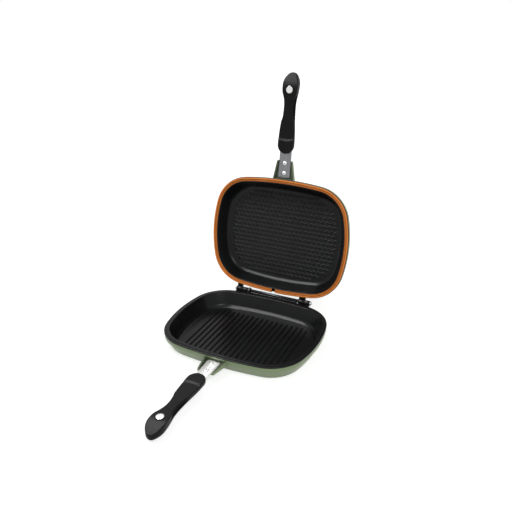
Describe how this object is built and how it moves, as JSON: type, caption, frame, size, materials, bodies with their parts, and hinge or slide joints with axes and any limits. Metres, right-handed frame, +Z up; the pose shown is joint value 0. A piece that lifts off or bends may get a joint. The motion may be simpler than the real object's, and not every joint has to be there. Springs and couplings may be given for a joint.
{
  "type": "double sided flip pan",
  "caption": "Hinged double pan: two shallow rounded-rectangle cast halves with ribbed cooking faces, a sealed rim and a steel-stayed grip on each half.",
  "frame": {"origin": "centre of the lower half's flat base, on the surface it stands on", "axes": "+X along the hinge, +Y from the grips towards the hinge, +Z up; the lid stands open"},
  "size_m": [0.32, 0.5933, 0.5052],
  "materials": {
    "cast_aluminium_green": "sage green lacquer outside, black satin non-stick inside",
    "seal_silicone": "smooth moulded silicone, satin",
    "grip_phenolic": "moulded phenolic, satin",
    "stay_steel": "brushed stainless steel",
    "screw_steel": "plated steel, bright",
    "pin_steel": "drawn steel, satin",
    "tube_steel": "polished steel tube",
    "collar_plastic": "moulded black plastic",
    "magnet_nickel": "nickel plate"
  },
  "bodies": {
    "pan": {"pan_casting": "cast_aluminium_green", "pan_stay": "stay_steel", "pan_stay_screws": "screw_steel", "pan_grip": "grip_phenolic", "pan_grip_screw": "screw_steel", "pan_magnet_cup": "magnet_nickel", "pan_magnet": "magnet_nickel", "hinge_pin": "pin_steel", "hinge_pin_clip": "pin_steel", "hinge_washers": "pin_steel", "hinge_spacer_tube": "tube_steel", "hinge_collar": "collar_plastic"},
    "lid": {"lid_casting": "cast_aluminium_green", "lid_seal": "seal_silicone", "lid_stay": "stay_steel", "lid_stay_screws": "screw_steel", "lid_grip": "grip_phenolic", "lid_grip_screw": "screw_steel", "lid_magnet_cup": "magnet_nickel", "lid_magnet": "magnet_nickel"}
  },
  "joints": [
    {"name": "lid_hinge", "type": "hinge", "parent": "pan", "child": "lid", "pos_m": [0, 0.1333, 0.0365], "axis": [1, 0, 0], "range_deg": [0, 100.5]}
  ]
}
